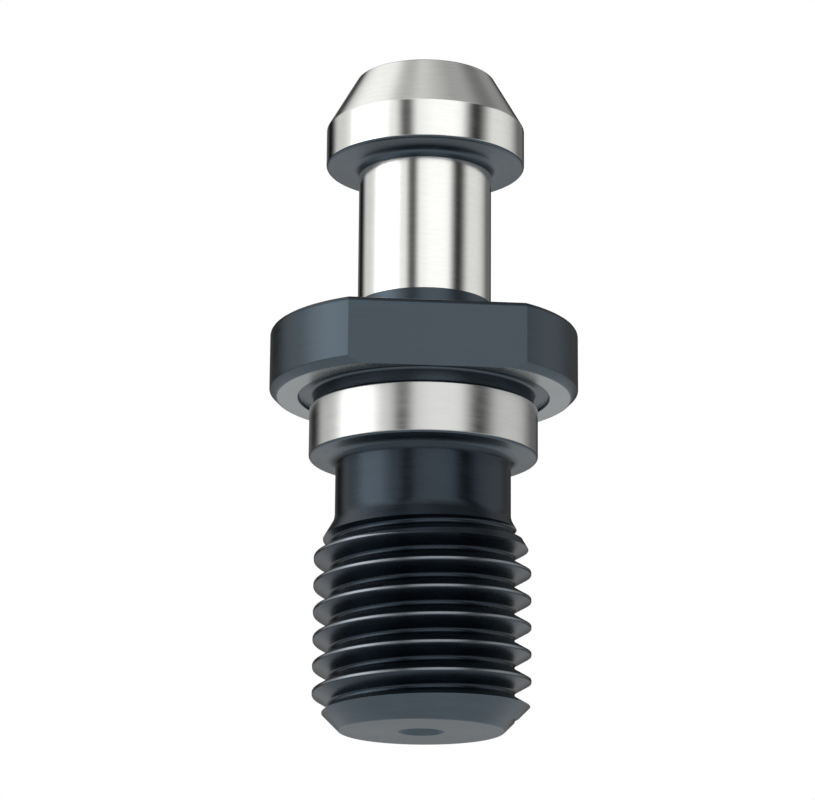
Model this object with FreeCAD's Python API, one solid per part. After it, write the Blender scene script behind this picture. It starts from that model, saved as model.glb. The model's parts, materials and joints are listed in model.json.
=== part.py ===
import FreeCAD, Part
import math
import os

# Pull stud for a size 40 tool holder: one piece, turned and ground from a bar of steel.
# Millimetres. The stud's axis is Z with the head up, and the origin is where the axis
# crosses the flange's seat, the face that is drawn against the tail of the holder.

# Head, which the machine's gripper pulls on
HEAD_TOP = 25.0
HEAD_SHOULDER = 21.0
HEAD_UNDERSIDE = 18.0
HEAD_RADIUS = 7.5
CONE_ANGLE = 30.0
HEAD_EDGE_BREAK = 0.25

# Neck between the head and the flange, with a bevel where a turning tool's nose leaves one
NECK_RADIUS = 5.0
NECK_HEAD_BEVEL = 0.4
NECK_FLANGE_BEVEL = 0.9

# Flange with its seat at height zero and two flats for a spanner
FLANGE_RADIUS = 11.5
FLANGE_THICKNESS = 5.0
FLANGE_EDGE_BREAK = 0.35
SEAT_CHAMFER = 0.5
ACROSS_FLATS = 19.0

# Relief groove turned into the seat round the pilot
GROOVE_RADIUS = 9.35
GROOVE_DEPTH = 0.3
RELIEF_RADIUS = 8.2

# Ground pilot that centres the stud in the holder
PILOT_RADIUS = 8.5
PILOT_TOP = -0.9
PILOT_END = -4.7

# Undercut between the pilot and the thread, with a slope where the thread runs out
UNDERCUT_RADIUS = 6.5
UNDERCUT_END = -9.3
UNDERCUT_BEVEL = 0.5
RUN_OUT_ANGLE = 30.0

# Thread M16 x 2, right-handed, to the end of the stud
THREAD_RADIUS = 8.0
THREAD_PITCH = 2.0
THREAD_ANGLE = 60.0
CREST_FLAT = THREAD_PITCH / 8
ROOT_FLAT = THREAD_PITCH / 6
GROOVE_FIRST_TURN = -26.24
GROOVE_TURNS = 9
STUD_END = -25.0
END_CHAMFER = 2.0

# Centre holes in both end faces, between which the stud is ground
CENTRE_MOUTH_RADIUS = 1.675
CENTRE_DRILL_RADIUS = 0.8
CENTRE_DEPTH = 3.5
CENTRE_ANGLE = 60.0

# How far a cutter stands clear of what it cuts, and how near two places are taken as one
CUTTER_CLEARANCE = 0.1
CUT_TOLERANCE = 0.0001
SAME_PLACE = 0.001


def half_tan(full_angle):
    """Tangent of half an angle given in degrees."""
    return math.tan(math.radians(full_angle / 2))


def outline_face(corners):
    """Closed face in the XZ plane, from corners given as (radius, height)."""
    points = [FreeCAD.Vector(radius, 0, height) for radius, height in corners]
    return Part.Face(Part.makePolygon(points + points[:1]))


def revolved(corners):
    """The solid that the same outline sweeps once round the stud's axis."""
    return outline_face(corners).revolve(FreeCAD.Vector(), FreeCAD.Vector(0, 0, 1), 360)


def turned_blank():
    """The stud as it leaves the lathe, with a plain shank where the thread will be."""
    cone_rise = HEAD_TOP - HEAD_SHOULDER
    top_radius = HEAD_RADIUS - cone_rise * math.tan(math.radians(CONE_ANGLE))
    run_out = (THREAD_RADIUS - UNDERCUT_RADIUS) / math.tan(math.radians(RUN_OUT_ANGLE))
    thread_start = UNDERCUT_END - run_out
    return revolved([
        (0, HEAD_TOP),
        (top_radius, HEAD_TOP),
        (HEAD_RADIUS, HEAD_SHOULDER),
        (HEAD_RADIUS, HEAD_UNDERSIDE + HEAD_EDGE_BREAK),
        (HEAD_RADIUS - HEAD_EDGE_BREAK, HEAD_UNDERSIDE),
        (NECK_RADIUS + NECK_HEAD_BEVEL, HEAD_UNDERSIDE),
        (NECK_RADIUS, HEAD_UNDERSIDE - NECK_HEAD_BEVEL),
        (NECK_RADIUS, FLANGE_THICKNESS + NECK_FLANGE_BEVEL),
        (NECK_RADIUS + NECK_FLANGE_BEVEL, FLANGE_THICKNESS),
        (FLANGE_RADIUS, FLANGE_THICKNESS),
        (FLANGE_RADIUS, SEAT_CHAMFER),
        (FLANGE_RADIUS - SEAT_CHAMFER, 0),
        (GROOVE_RADIUS, 0),
        (GROOVE_RADIUS, GROOVE_DEPTH),
        (RELIEF_RADIUS, GROOVE_DEPTH),
        (RELIEF_RADIUS, PILOT_TOP),
        (PILOT_RADIUS, PILOT_TOP),
        (PILOT_RADIUS, PILOT_END),
        (UNDERCUT_RADIUS + UNDERCUT_BEVEL, PILOT_END),
        (UNDERCUT_RADIUS, PILOT_END - UNDERCUT_BEVEL),
        (UNDERCUT_RADIUS, UNDERCUT_END),
        (THREAD_RADIUS, thread_start),
        (THREAD_RADIUS, STUD_END + END_CHAMFER),
        (THREAD_RADIUS - END_CHAMFER, STUD_END),
        (0, STUD_END),
    ])


def on_flange_rim(edge):
    """True for the edges round the top of the flange, on its round sides and on its flats."""
    box = edge.BoundBox
    off_top = max(abs(box.ZMin - FLANGE_THICKNESS), abs(box.ZMax - FLANGE_THICKNESS))
    reach = max(box.XMax, -box.XMin, box.YMax, -box.YMin)
    return off_top < SAME_PLACE and reach > ACROSS_FLATS / 2 - SAME_PLACE


def spanner_flats(stud):
    """Mills the two parallel flats, then breaks the edge round the top of the flange."""
    across = 2 * FLANGE_RADIUS
    up = FLANGE_THICKNESS + 2 * CUTTER_CLEARANCE
    waste = Part.makeBox(across, FLANGE_RADIUS, up)
    waste.translate(FreeCAD.Vector(-across / 2, ACROSS_FLATS / 2, -CUTTER_CLEARANCE))
    other = waste.mirror(FreeCAD.Vector(), FreeCAD.Vector(0, 1, 0))
    stud = stud.cut(waste).cut(other)
    rim = [edge for edge in stud.Edges if on_flange_rim(edge)]
    return stud.makeChamfer(FLANGE_EDGE_BREAK, rim)


def centre_hole():
    """A centre drill's hole with its mouth at height zero, going down."""
    cone_depth = (CENTRE_MOUTH_RADIUS - CENTRE_DRILL_RADIUS) / half_tan(CENTRE_ANGLE)
    return revolved([
        (0, 0),
        (CENTRE_MOUTH_RADIUS, 0),
        (CENTRE_DRILL_RADIUS, -cone_depth),
        (CENTRE_DRILL_RADIUS, -CENTRE_DEPTH),
        (0, -CENTRE_DEPTH),
    ])


def thread_groove():
    """The helical groove that leaves the thread, with straight flanks and a narrow flat root."""
    mouth = THREAD_PITCH - CREST_FLAT
    apex = THREAD_RADIUS - mouth / 2 / half_tan(THREAD_ANGLE)
    outer = THREAD_RADIUS + CUTTER_CLEARANCE
    half_width = (outer - apex) * half_tan(THREAD_ANGLE)
    root = apex + ROOT_FLAT / 2 / half_tan(THREAD_ANGLE)
    profile = outline_face([
        (outer, half_width),
        (root, ROOT_FLAT / 2),
        (root, -ROOT_FLAT / 2),
        (outer, -half_width),
    ])
    path = Part.Wire(Part.makeHelix(THREAD_PITCH, GROOVE_TURNS * THREAD_PITCH, THREAD_RADIUS))
    groove = path.makePipeShell([profile.OuterWire], True, True)
    groove.translate(FreeCAD.Vector(0, 0, GROOVE_FIRST_TURN))
    return groove


def pull_stud():
    """The whole stud: blank, flats, centre holes and, last, the thread."""
    stud = spanner_flats(turned_blank())
    lower = centre_hole()
    lower.rotate(FreeCAD.Vector(), FreeCAD.Vector(1, 0, 0), 180)
    lower.translate(FreeCAD.Vector(0, 0, STUD_END))
    upper = centre_hole()
    upper.translate(FreeCAD.Vector(0, 0, HEAD_TOP))
    stud = stud.cut(lower).cut(upper)
    return stud.cut(thread_groove(), CUT_TOLERANCE)


os.makedirs("parts", exist_ok=True)
shape = pull_stud()
print("solids", len(shape.Solids), "valid", shape.isValid(), "volume", round(shape.Volume, 2))
shape.Solids[0].exportStep("parts/pull_stud.step")
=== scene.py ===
import json
import math
import bmesh
import bpy
from mathutils import Matrix, Vector


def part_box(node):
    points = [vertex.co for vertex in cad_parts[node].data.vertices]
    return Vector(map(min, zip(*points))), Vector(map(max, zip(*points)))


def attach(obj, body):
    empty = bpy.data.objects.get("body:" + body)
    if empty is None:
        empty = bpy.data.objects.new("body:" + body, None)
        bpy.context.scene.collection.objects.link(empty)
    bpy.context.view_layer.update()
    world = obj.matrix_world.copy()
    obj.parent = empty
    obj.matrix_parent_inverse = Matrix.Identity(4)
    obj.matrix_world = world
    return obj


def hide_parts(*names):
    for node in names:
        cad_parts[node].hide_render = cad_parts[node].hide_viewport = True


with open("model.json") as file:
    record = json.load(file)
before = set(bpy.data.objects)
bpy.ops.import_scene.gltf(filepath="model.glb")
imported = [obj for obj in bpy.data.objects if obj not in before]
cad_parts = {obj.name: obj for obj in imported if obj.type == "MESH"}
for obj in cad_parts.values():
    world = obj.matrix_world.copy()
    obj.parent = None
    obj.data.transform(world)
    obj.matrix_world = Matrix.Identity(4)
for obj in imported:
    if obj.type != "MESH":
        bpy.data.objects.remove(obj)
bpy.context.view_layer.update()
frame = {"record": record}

# ---- Pull stud, turned ------------------------------------------------------------------
# The stud is one bar of case-hardened steel, turned between the centre holes in its two end
# faces. Its outline is drawn in millimetres as one chain of rings, from the bottom of the
# upper centre hole over the head and down to the bottom of the lower one.

MM = 0.001
SIDES = 192  # sides of every ring
SAME_PLACE = 0.002  # mm within which two places are one

mounts = {mount["name"]: mount for mount in frame["record"]["mounts"]}
lowest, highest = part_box("pull_stud")

head_top = highest.z / MM
head_underside = mounts["grip_face"]["pos_m"][2] / MM
head_radius = mounts["grip_head"]["dims"]["r_mm"]
head_shoulder = 21.0
cone_slope = math.tan(math.radians(30))  # the same on the head, at the run-out and in the holes
head_rim = head_radius - (head_top - head_shoulder) * cone_slope

neck_radius = 5.0
ground_neck_top = 17.35
ground_neck_end = 7.2

flange_radius = highest.x / MM
flange_top = 5.0
seat = mounts["flange_seat"]["pos_m"][2] / MM
seat_chamfer = 0.5
groove_radius = 9.35
groove_floor = seat + 0.3
relief_radius = 8.2

pilot_radius = mounts["pilot"]["dims"]["r_mm"]
pilot_middle = mounts["pilot"]["pos_m"][2] / MM
pilot_half = mounts["pilot"]["dims"]["length_mm"] / 2
pilot_top = pilot_middle + pilot_half
pilot_end = pilot_middle - pilot_half

undercut_radius = 6.5
undercut_end = -9.3
thread_radius = 8.0
thread_start = undercut_end - (thread_radius - undercut_radius) / cone_slope
stud_end = lowest.z / MM
end_chamfer = 2.0
end_radius = thread_radius - end_chamfer

hole_mouth = 1.675
hole_drill = 0.8
hole_cone = (hole_mouth - hole_drill) / cone_slope
hole_depth = 3.5
drill_point = hole_drill * math.tan(math.radians(31))  # a drill's point is 118 degrees wide


def new_piece(name):
    """Names the primitive that was just added and brings its place into its mesh."""
    bpy.ops.object.transform_apply(location=True, rotation=True, scale=True)
    piece = bpy.context.object
    piece.name = name
    piece.data.name = name
    return piece


def picked_corner():
    """Radius and height of the ring that is picked."""
    mesh = bmesh.from_edit_mesh(bpy.context.object.data)
    place = next(corner.co for corner in mesh.verts if corner.select)
    return place.xy.length, place.z


def turn_to(radius, height):
    """Draws the picked ring on to the next ring of the outline."""
    old_radius, old_height = picked_corner()
    rise = (0, 0, height - old_height)
    bpy.ops.mesh.extrude_edges_move(TRANSFORM_OT_translate={"value": rise})
    growth = radius / old_radius
    bpy.ops.transform.resize(value=(growth, growth, 1), center_override=(0, 0, height))


def drill_to(height):
    """Closes the picked ring with the cone that a drill's point leaves."""
    rise = (0, 0, height - picked_corner()[1])
    bpy.ops.mesh.extrude_edges_move(TRANSFORM_OT_translate={"value": rise})
    bpy.ops.mesh.merge(type="CENTER")


def pick_edges(test):
    """Picks the edges whose two ends both pass the test, which takes (radius, place)."""
    bpy.ops.mesh.select_all(action="DESELECT")
    mesh = bmesh.from_edit_mesh(bpy.context.object.data)
    for edge in mesh.edges:
        edge.select = all(test(corner.co.xy.length, corner.co) for corner in edge.verts)
    bmesh.update_edit_mesh(bpy.context.object.data)


def pick_ring(radius, height):
    """Picks the ring of edges at this radius and height."""
    pick_edges(
        lambda r, place: abs(r - radius) < SAME_PLACE and abs(place.z - height) < SAME_PLACE
    )


bpy.ops.object.select_all(action="DESELECT")
first_ring = (hole_drill, head_top - hole_depth)
bpy.ops.mesh.primitive_circle_add(
    vertices=SIDES, radius=first_ring[0], location=(0, 0, first_ring[1])
)
stud = new_piece("pull_stud_finished")
bpy.ops.object.mode_set(mode="EDIT")
bpy.ops.mesh.select_mode(type="EDGE")
outline = [
    (hole_drill, head_top - hole_cone),
    (hole_mouth, head_top),
    (head_rim, head_top),
    (head_radius, head_shoulder),
    (head_radius, head_underside),
    (neck_radius, head_underside),
    (neck_radius, ground_neck_top),
    (neck_radius, ground_neck_end),
    (neck_radius, flange_top),
    (flange_radius, flange_top),
    (flange_radius, seat + seat_chamfer),
    (flange_radius - seat_chamfer, seat),
    (groove_radius, seat),
    (groove_radius, groove_floor),
    (relief_radius, groove_floor),
    (relief_radius, pilot_top),
    (pilot_radius, pilot_top),
    (pilot_radius, pilot_end),
    (undercut_radius, pilot_end),
    (undercut_radius, undercut_end),
    (thread_radius, thread_start),
    (thread_radius, stud_end + end_chamfer),
    (end_radius, stud_end),
    (hole_mouth, stud_end),
    (hole_drill, stud_end + hole_cone),
    (hole_drill, stud_end + hole_depth),
]
for radius, height in outline:
    turn_to(radius, height)
drill_to(stud_end + hole_depth + drill_point)
pick_ring(*first_ring)
drill_to(first_ring[1] - drill_point)

# Rounds that the tool's nose leaves in the inner corners, and breaks on the outer ones. Each is
# given as its ring, how far it reaches from the corner, and its number of steps.
rounded_rings = [
    ((hole_mouth, head_top), 0.08, 2),
    ((head_rim, head_top), 0.14, 3),
    ((head_radius, head_shoulder), 0.08, 2),
    ((head_radius, head_underside), 0.25, 5),
    ((neck_radius, head_underside), 0.45, 6),
    ((neck_radius, flange_top), 1.3, 10),
    ((flange_radius, seat + seat_chamfer), 0.08, 2),
    ((flange_radius - seat_chamfer, seat), 0.08, 2),
    ((groove_radius, seat), 0.06, 2),
    ((groove_radius, groove_floor), 0.12, 3),
    ((relief_radius, groove_floor), 0.25, 4),
    ((relief_radius, pilot_top), 0.2, 4),
    ((pilot_radius, pilot_top), 0.12, 3),
    ((pilot_radius, pilot_end), 0.25, 5),
    ((undercut_radius, pilot_end), 0.8, 8),
    ((undercut_radius, undercut_end), 0.35, 4),
    ((end_radius, stud_end), 0.12, 3),
    ((hole_mouth, stud_end), 0.08, 2),
]
for ring, reach, steps in rounded_rings:
    pick_ring(*ring)
    bpy.ops.mesh.bevel(offset=reach, segments=steps, profile=0.5, affect="EDGES")
bpy.ops.mesh.select_all(action="SELECT")
bpy.ops.mesh.normals_make_consistent(inside=False)

# ---- Spanner flats ----------------------------------------------------------------------
# Two parallel flats are milled on the flange, the only part that stands out far enough to be
# cut. Their upright corners are left nearly sharp, and the rim on top is broken all round.

flat_distance = mounts["spanner_flat_back"]["pos_m"][1] / MM
flat_half = math.sqrt(flange_radius ** 2 - flat_distance ** 2)
flat_corner_break = 0.1
rim_break = 0.35


def on_flange_rim(r, place):
    """True at the edge of the flange's top, on the round sides and on the flats alike."""
    on_top = abs(place.z - flange_top) < SAME_PLACE
    on_round = r > flange_radius - 2 * flat_corner_break
    return on_top and (on_round or abs(place.y) > flat_distance - SAME_PLACE)


def on_flat_corner(r, place):
    """True at the upright corners between the flats and the flange's round sides."""
    return abs(abs(place.x) - flat_half) < SAME_PLACE and place.z > seat + seat_chamfer / 2


for side in (-1, 1):
    bpy.ops.mesh.select_all(action="SELECT")
    flat = side * flat_distance
    bpy.ops.mesh.bisect(
        plane_co=(0, flat, 0), plane_no=(0, side, 0), use_fill=True, clear_outer=True
    )
pick_edges(on_flat_corner)
bpy.ops.mesh.bevel(offset=flat_corner_break, segments=2, profile=0.5, affect="EDGES")
pick_edges(on_flange_rim)
bpy.ops.mesh.bevel(offset=rim_break, segments=4, profile=0.5, affect="EDGES")
bpy.ops.object.mode_set(mode="OBJECT")

# ---- Thread -----------------------------------------------------------------------------
# M16 x 2, right-handed. A threading tool's outline, with a round nose and with shoulders that
# round the crests off, is run up the stud on a helix, and the groove that it sweeps is cut out.
# The shoulders run a hair outside the shank, so that they don't lie in its surface.

pitch = 2.0
crest_half = pitch / 16
root_half = pitch / 12
flank_slope = math.tan(math.radians(30))
root_radius = thread_radius - (pitch / 2 - crest_half - root_half) / flank_slope
groove_start = -26.24
groove_turns = 9
shoulder_clearance = 0.003
shoulder_radius = thread_radius + shoulder_clearance
shoulder_half = pitch / 2 - crest_half
tool_back = thread_radius + 0.2
tool_half = pitch / 2 - 0.05
crest_round = 0.06
nose_round = 0.15

tool_outline = [
    (tool_back, -tool_half),
    (shoulder_radius, -tool_half),
    (shoulder_radius, -shoulder_half),
    (root_radius, -root_half),
    (root_radius, root_half),
    (shoulder_radius, shoulder_half),
    (shoulder_radius, tool_half),
    (tool_back, tool_half),
]


def pick_corners(test):
    """Picks the corners that pass the test, which takes a place."""
    bpy.ops.mesh.select_all(action="DESELECT")
    mesh = bmesh.from_edit_mesh(bpy.context.object.data)
    for corner in mesh.verts:
        corner.select = test(corner.co)
    mesh.select_flush_mode()
    bmesh.update_edit_mesh(bpy.context.object.data)


bpy.ops.object.select_all(action="DESELECT")
start = Vector((tool_outline[0][0], 0, groove_start + tool_outline[0][1]))
bpy.ops.mesh.primitive_plane_add(size=pitch, location=start)
cutter = new_piece("thread_cutter")
bpy.ops.object.mode_set(mode="EDIT")
bpy.ops.mesh.select_mode(type="VERT")
bpy.ops.mesh.merge(type="CENTER")
for (old_radius, old_height), (radius, height) in zip(tool_outline, tool_outline[1:]):
    step = (radius - old_radius, 0, height - old_height)
    bpy.ops.mesh.extrude_region_move(TRANSFORM_OT_translate={"value": step})
bpy.ops.mesh.select_all(action="SELECT")
bpy.ops.mesh.edge_face_add()
pick_corners(lambda place: place.x < root_radius + SAME_PLACE)
bpy.ops.mesh.bevel(offset=nose_round, segments=4, profile=0.5, affect="VERTICES")
pick_corners(
    lambda place: abs(place.x - shoulder_radius) < SAME_PLACE
    and abs(place.z - groove_start) < shoulder_half + SAME_PLACE
)
bpy.ops.mesh.bevel(offset=crest_round, segments=3, profile=0.5, affect="VERTICES")
bpy.ops.mesh.select_all(action="SELECT")
bpy.ops.mesh.delete(type="ONLY_FACE")
bpy.ops.object.mode_set(mode="OBJECT")
run = cutter.modifiers.new("run", "SCREW")
run.axis = "Z"
run.angle = 2 * math.pi
run.screw_offset = pitch
run.iterations = groove_turns
run.steps = SIDES
run.render_steps = SIDES
bpy.ops.object.modifier_apply(modifier=run.name)
bpy.ops.object.mode_set(mode="EDIT")
for end in (groove_start, groove_start + groove_turns * pitch):
    pick_corners(
        lambda place: abs(place.y) < SAME_PLACE and place.x > 0 and abs(place.z - end) < pitch / 2
    )
    bpy.ops.mesh.edge_face_add()
bpy.ops.mesh.select_all(action="SELECT")
bpy.ops.mesh.normals_make_consistent(inside=False)
bpy.ops.object.mode_set(mode="OBJECT")

bpy.ops.object.select_all(action="DESELECT")
stud.select_set(True)
bpy.context.view_layer.objects.active = stud
cut = stud.modifiers.new("cut", "BOOLEAN")
cut.operation = "DIFFERENCE"
cut.solver = "EXACT"
cut.object = cutter
bpy.ops.object.modifier_apply(modifier=cut.name)
bpy.data.meshes.remove(cutter.data)

bpy.ops.object.mode_set(mode="EDIT")
bpy.ops.mesh.select_all(action="SELECT")
bpy.ops.mesh.remove_doubles(threshold=SAME_PLACE / 4)
bpy.ops.transform.resize(value=(MM, MM, MM), center_override=(0, 0, 0))
bpy.ops.mesh.normals_make_consistent(inside=False)
bpy.ops.object.mode_set(mode="OBJECT")
bpy.ops.object.shade_smooth_by_angle(angle=math.radians(28))  # keeps the crests crisp
even = stud.modifiers.new("even", "WEIGHTED_NORMAL")
even.keep_sharp = True
bpy.ops.object.modifier_apply(modifier=even.name)

# ---- Finishes ---------------------------------------------------------------------------
# The whole stud is hardened and blackened, and the neck, the head's rim and cone, the seat and
# the pilot are then ground between centres. The marks run round the axis, as tools cut them,
# and along the flats. The thread's crests get a lighter oxide as a painted highlight, and the
# thread's flanks, the undercut and the flange's top rim a darker oxide as painted shade.


def wire(tree, kind, feeds=None, **settings):
    """Adds a node with these settings, and feeds its inputs with values or other outputs."""
    made = tree.nodes.new("ShaderNode" + kind)
    for name, value in settings.items():
        setattr(made, name, value)
    for name, feed in (feeds or {}).items():
        if isinstance(feed, bpy.types.NodeSocket):
            tree.links.new(feed, made.inputs[name])
        else:
            made.inputs[name].default_value = feed
    return made


def sums(tree, operation, *feeds):
    """One sum on values."""
    return wire(tree, "Math", dict(enumerate(feeds)), operation=operation).outputs[0]


def new_group(name, inputs, outputs):
    """An empty node group with these named value inputs and outputs."""
    group = bpy.data.node_groups.new(name, "ShaderNodeTree")
    for title, default in inputs.items():
        socket = group.interface.new_socket(title, in_out="INPUT", socket_type="NodeSocketFloat")
        socket.default_value = default
    for title in outputs:
        group.interface.new_socket(title, in_out="OUTPUT", socket_type="NodeSocketFloat")
    given = group.nodes.new("NodeGroupInput").outputs
    result = group.nodes.new("NodeGroupOutput").inputs
    return group, given, result


def tool_marks_group():
    """Fine rings round the axis, broken up a little along their way, at so many to the metre."""
    inputs = {"Rings": 6000.0, "Length": 3.0, "Ragged": 0.5}
    group, given, result = new_group("tool_marks", inputs, ["Marks"])
    place = wire(group, "TexCoord").outputs["Object"]
    xyz = wire(group, "SeparateXYZ", {0: place}).outputs
    squares = [sums(group, "MULTIPLY", axis, axis) for axis in (xyz[0], xyz[1])]
    radius = sums(group, "SQRT", sums(group, "ADD", *squares))
    off_axis = sums(group, "MAXIMUM", radius, 1e-5)
    bearings = [sums(group, "DIVIDE", axis, off_axis) for axis in (xyz[0], xyz[1])]
    around = [sums(group, "MULTIPLY", part, given["Length"]) for part in bearings]
    across = [sums(group, "MULTIPLY", length, given["Rings"]) for length in (radius, xyz[2])]
    where = wire(group, "CombineXYZ", {0: across[0], 1: across[1], 2: around[0]}).outputs[0]
    feeds = {"Vector": where, "W": around[1], "Scale": 1.0, "Detail": 3.0}
    feeds["Roughness"] = given["Ragged"]
    noise = wire(group, "TexNoise", feeds, noise_dimensions="4D")
    group.links.new(noise.outputs[0], result["Marks"])
    return group


def mottle_group():
    """Soft uneven patches, as handling and the blackening bath leave on steel."""
    group, given, result = new_group("mottle", {"Size": 0.004, "Contrast": 1.0}, ["Patches"])
    place = wire(group, "TexCoord").outputs["Object"]
    scale = sums(group, "DIVIDE", 1.0, given["Size"])
    feeds = {"Vector": place, "Scale": scale, "Detail": 4.0, "Roughness": 0.6}
    noise = wire(group, "TexNoise", feeds).outputs[0]
    swing = sums(group, "MULTIPLY", sums(group, "SUBTRACT", noise, 0.5), given["Contrast"])
    group.links.new(sums(group, "ADD", swing, 0.5), result["Patches"])
    return group


def milled_group():
    """Straight fine lines along X, at so many to the metre, as a mill leaves on the flats."""
    breaks = 120.0
    group, given, result = new_group("milled_lines", {"Lines": 7000.0}, ["Marks"])
    place = wire(group, "TexCoord").outputs["Object"]
    xyz = wire(group, "SeparateXYZ", {0: place}).outputs
    along = sums(group, "MULTIPLY", xyz[0], breaks)
    across = sums(group, "MULTIPLY", xyz[2], given["Lines"])
    where = wire(group, "CombineXYZ", {0: along, 1: across, 2: 0.0}).outputs[0]
    feeds = {"Vector": where, "Scale": 1.0, "Detail": 3.0, "Roughness": 0.6}
    noise = wire(group, "TexNoise", feeds)
    group.links.new(noise.outputs[0], result["Marks"])
    return group


tool_marks = tool_marks_group()
mottle = mottle_group()
milled_lines = milled_group()


def metal(name, colour, roughness, anisotropy, marks, depth, patch_size, swing):
    """A metal finish. Its marks, a group with its inputs, and its patches change the colour by
    the swing, the roughness between its two ends, and, for the marks, the bump."""
    material = bpy.data.materials.new(name)
    material.use_nodes = True
    tree = material.node_tree
    shader = tree.nodes["Principled BSDF"]
    group, inputs = marks
    lines = wire(tree, "Group", inputs, node_tree=group).outputs["Marks"]
    patches = wire(tree, "Group", {"Size": patch_size}, node_tree=mottle).outputs["Patches"]
    dark, light = ([part * (1 + sign * swing) for part in colour] + [1.0] for sign in (-1, 1))
    both = sums(tree, "MULTIPLY", sums(tree, "ADD", lines, patches), 0.5)
    least, most = 0.3, 0.7
    tone = wire(tree, "ValToRGB", {0: both})
    tone.color_ramp.elements[0].position = least
    tone.color_ramp.elements[0].color = dark
    tone.color_ramp.elements[1].position = most
    tone.color_ramp.elements[1].color = light
    tree.links.new(tone.outputs[0], shader.inputs["Base Color"])
    span = {"Value": both, "From Min": least, "From Max": most}
    span.update({"To Min": roughness[0], "To Max": roughness[1]})
    rough = wire(tree, "MapRange", span)
    tree.links.new(rough.outputs[0], shader.inputs["Roughness"])
    bump = wire(tree, "Bump", {"Height": lines, "Distance": depth, "Strength": 1.0})
    tree.links.new(bump.outputs[0], shader.inputs["Normal"])
    shader.inputs["Metallic"].default_value = 1.0
    shader.inputs["Anisotropic"].default_value = anisotropy
    shader.inputs["Anisotropic Rotation"].default_value = 0.25  # blurs across the marks
    around = wire(tree, "Tangent", direction_type="RADIAL", axis="Z")
    tree.links.new(around.outputs[0], shader.inputs["Tangent"])
    return material


ground_rings = (tool_marks, {"Rings": 5000.0, "Length": 4.0})
turned_rings = (tool_marks, {"Rings": 4000.0, "Length": 2.0})
milled = (milled_lines, {"Lines": 5000.0})

ground_steel = metal(
    "ground_steel", colour=(0.77, 0.77, 0.745), roughness=(0.1, 0.17), anisotropy=0.6,
    marks=ground_rings, depth=0.000002, patch_size=0.003, swing=0.05,
)
ground_pilot = metal(
    "ground_pilot", colour=(0.56, 0.565, 0.55), roughness=(0.19, 0.28), anisotropy=0.5,
    marks=ground_rings, depth=0.000003, patch_size=0.003, swing=0.07,
)
ground_seat = metal(
    "ground_seat", colour=(0.27, 0.29, 0.3), roughness=(0.22, 0.32), anisotropy=0.3,
    marks=ground_rings, depth=0.000003, patch_size=0.003, swing=0.1,
)
black_oxide = metal(
    "black_oxide", colour=(0.062, 0.08, 0.096), roughness=(0.3, 0.42), anisotropy=0.3,
    marks=turned_rings, depth=0.000004, patch_size=0.0025, swing=0.12,
)
milled_oxide = metal(
    "milled_oxide", colour=(0.066, 0.084, 0.1), roughness=(0.3, 0.42), anisotropy=0.3,
    marks=milled, depth=0.000005, patch_size=0.0025, swing=0.12,
)
# A darker copy of the black oxide, as painted shade: on the thread's flanks and roots, the undercut
# and the flange's top rim.
painted_shade_oxide = metal(
    "thread_oxide_painted_shade", colour=(0.034, 0.044, 0.055), roughness=(0.22, 0.32), anisotropy=0.4,
    marks=turned_rings, depth=0.000003, patch_size=0.002, swing=0.14,
)
# A lighter copy of the black oxide on the thread's crests, as a painted highlight.
crest_painted_highlight = metal(
    "thread_crest_painted_highlight", colour=(0.2, 0.22, 0.24), roughness=(0.25, 0.35), anisotropy=0.3,
    marks=turned_rings, depth=0.000004, patch_size=0.002, swing=0.12,
)
finishes = [
    black_oxide, ground_steel, ground_pilot, ground_seat, milled_oxide, painted_shade_oxide, crest_painted_highlight,
]
for finish in finishes:
    stud.data.materials.append(finish)
OXIDE, GROUND, PILOT, SEAT, MILLED, SHADE_PAINTED, CREST_HIGHLIGHT = range(len(finishes))
ground_edge = 0.2  # mm by which the grinding wheel stops short of a corner


def finish_of(face):
    """Which finish a face has, from where it lies on the stud."""
    r = face.center.xy.length / MM
    z = face.center.z / MM
    if ground_neck_end < z < ground_neck_top and r < neck_radius + SAME_PLACE:
        return GROUND
    if head_underside + ground_edge < z < head_top - 0.05 and r > head_rim:
        return GROUND
    if pilot_end + ground_edge < z < pilot_top and r > pilot_radius - 0.05:
        return PILOT
    if abs(z - seat) < SAME_PLACE and groove_radius < r < flange_radius:
        return SEAT
    if abs(face.normal.y) > 0.99 and z > seat and r > flat_distance - 0.1:
        return MILLED
    # The thread's crests get the lighter oxide as a painted highlight.
    if abs(face.normal.z) < 0.1 and z < thread_start and r > thread_radius - 0.03:
        return CREST_HIGHLIGHT
    # The thread's flanks and roots and the undercut get the darker oxide as painted shade.
    if stud_end + end_chamfer < z < pilot_end - ground_edge:
        return SHADE_PAINTED
    # The break round the flange's top gets the darker oxide as painted shade.
    if flange_top - rim_break < z < flange_top and r > flat_distance - rim_break:
        return SHADE_PAINTED
    return OXIDE


for face in stud.data.polygons:
    face.material_index = finish_of(face)

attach(stud, "root")
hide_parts("pull_stud")

# ---- Floor ------------------------------------------------------------------------------
# A pale matt disc at the thread's end, on which the stud stands head up. It is seen only from
# above, so that the stud can be looked at from below, and it fades out towards its edge.

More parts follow.
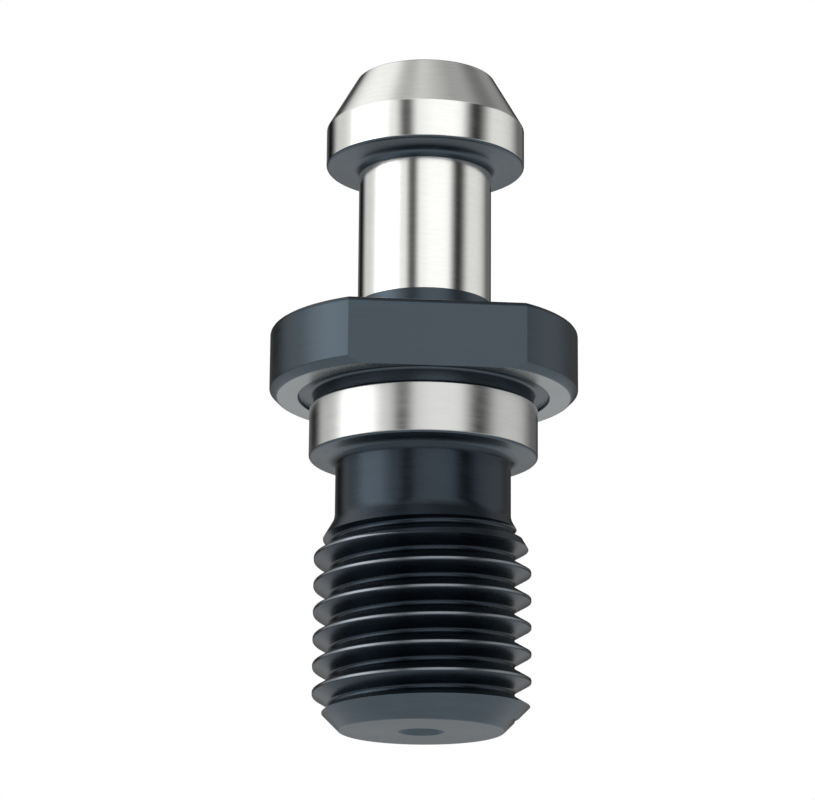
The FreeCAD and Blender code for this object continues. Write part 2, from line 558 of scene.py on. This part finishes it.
floor_radius = 0.35
bpy.ops.object.select_all(action="DESELECT")
bpy.ops.mesh.primitive_circle_add(
    vertices=96, radius=floor_radius, fill_type="NGON", location=(0, 0, lowest.z)
)
floor = new_piece("floor")
floor_finish = bpy.data.materials.new("pale_floor")
floor_finish.use_nodes = True
tree = floor_finish.node_tree
shader = tree.nodes["Principled BSDF"]
shader.inputs["Base Color"].default_value = (0.88, 0.88, 0.88, 1)
shader.inputs["Roughness"].default_value = 0.9
shader.inputs["Specular IOR Level"].default_value = 0.1
place = wire(tree, "TexCoord").outputs["Object"]
reach = wire(tree, "VectorMath", {0: place}, operation="LENGTH").outputs["Value"]
fade_start = 0.3 * floor_radius
fade = wire(
    tree, "MapRange",
    {"Value": reach, "From Min": fade_start, "From Max": floor_radius, "To Min": 0.0, "To Max": 1.0},
    interpolation_type="SMOOTHSTEP",
).outputs[0]
below = wire(tree, "NewGeometry").outputs["Backfacing"]
hidden = sums(tree, "MAXIMUM", fade, below)
clear = wire(tree, "BsdfTransparent")
mix = wire(tree, "MixShader", {0: hidden, 1: shader.outputs[0], 2: clear.outputs[0]})
tree.links.new(mix.outputs[0], tree.nodes["Material Output"].inputs["Surface"])
floor.data.materials.append(floor_finish)
floor.visible_glossy = False
floor.visible_diffuse = False
floor.visible_transmission = False
floor.visible_shadow = False

# ---- Studio light -----------------------------------------------------------------------
# A light tent round the stud, with brighter walls to the left and in front, a pale ceiling that
# is brighter to the left, and a pale table below. Two narrow dark slits run up over the tent
# and show as upright streaks in the ground steel. The camera itself sees plain white.

world = bpy.data.worlds.new("studio")
bpy.context.scene.world = world
world.use_nodes = True
tree = world.node_tree
towards = wire(tree, "TexCoord").outputs["Generated"]
xyz = wire(tree, "SeparateXYZ", {0: towards}).outputs
towards_front = sums(tree, "MULTIPLY", xyz[1], -1.0)
turned = sums(tree, "ARCTAN2", xyz[0], towards_front)
bearing = sums(tree, "MULTIPLY", turned, 180 / math.pi)  # degrees, 0 in front, 90 on the right


def smooth(value, start, end, low=0.0, high=1.0):
    """Goes softly from low to high while the value goes from start to end."""
    return wire(
        tree, "MapRange",
        {"Value": value, "From Min": start, "From Max": end, "To Min": low, "To Max": high},
        interpolation_type="SMOOTHSTEP",
    ).outputs[0]


def wall(left, right, level, left_soft, right_soft):
    """A lit wall between two bearings, with edges that are soft over so many degrees."""
    rise = smooth(bearing, left - left_soft, left + left_soft)
    fall = smooth(bearing, right - right_soft, right + right_soft, 1.0, 0.0)
    return sums(tree, "MULTIPLY", sums(tree, "MULTIPLY", rise, fall), level)


def slit(across, depth):
    """A narrow dark slit that runs up over the tent, in the plane square to this direction."""
    off = wire(tree, "VectorMath", {0: towards, 1: across}, operation="DOT_PRODUCT").outputs["Value"]
    return smooth(sums(tree, "ABSOLUTE", off), 0.02, 0.24, 1.0 - depth, 1.0)


walls = [
    wall(-137, 118, 0.6, 14, 15),
    wall(-97, -56, 1.4, 10, 12),
    wall(-110, 45, 0.27, 10, 10),
    wall(-8, 36, 0.27, 16, 12),
    wall(72, 100, 0.12, 10, 10),
]
around = 0.16
for lit in walls:
    around = sums(tree, "ADD", around, lit)
overhead = sums(tree, "MAXIMUM", sums(tree, "MULTIPLY_ADD", xyz[0], -0.95, 0.68), 0.42)
ceiling = smooth(xyz[2], 0.4, 0.85)
upper = wire(tree, "Mix", {0: ceiling, 2: around, 3: overhead}, data_type="FLOAT").outputs[0]
left_slit = slit((-0.894, 0.396, -0.2), 0.88)
right_slit = slit((-0.516, -0.457, 0.468), 0.95)
for dark in (left_slit, right_slit):
    paling = smooth(xyz[2], 0.35, 0.95, 0.0, 0.55)
    faded = wire(tree, "Mix", {0: paling, 2: dark, 3: 1.0}, data_type="FLOAT").outputs[0]
    upper = sums(tree, "MULTIPLY", upper, faded)
table = smooth(xyz[2], -0.05, -0.45, 0.25, 1.0)
lower = smooth(xyz[2], 0.02, -0.1)
level = wire(tree, "Mix", {0: lower, 2: upper, 3: table}, data_type="FLOAT").outputs[0]
studio = wire(tree, "Background", {"Color": (1, 1, 1, 1), "Strength": level})
backdrop = wire(tree, "Background", {"Color": (1, 1, 1, 1), "Strength": 1.0})
seen = wire(tree, "LightPath").outputs["Is Camera Ray"]
both = wire(tree, "MixShader", {0: seen, 1: studio.outputs[0], 2: backdrop.outputs[0]})
out = next(node for node in tree.nodes if node.type == "OUTPUT_WORLD")
tree.links.new(both.outputs[0], out.inputs["Surface"])

# ---- Camera -----------------------------------------------------------------------------
# A long lens from low in front and a little to the left, looking up at the stud.

camera_data = bpy.data.cameras.new("camera")
camera = bpy.data.objects.new("camera", camera_data)
bpy.context.scene.collection.objects.link(camera)
bpy.context.scene.camera = camera
camera_data.sensor_width = 36
camera_data.lens = 142.84
camera_data.clip_start = 0.01
camera.location = (-0.02436, -0.23151, -0.06196)
turn = Matrix.Rotation(math.radians(-5.7113), 3, "Z")
tilt = Matrix.Rotation(math.radians(90 + 14.8857), 3, "X")
roll = Matrix.Rotation(math.radians(0.4781), 3, "Z")
camera.rotation_euler = (turn @ tilt @ roll).to_euler()

bpy.context.scene.view_settings.view_transform = "Standard"
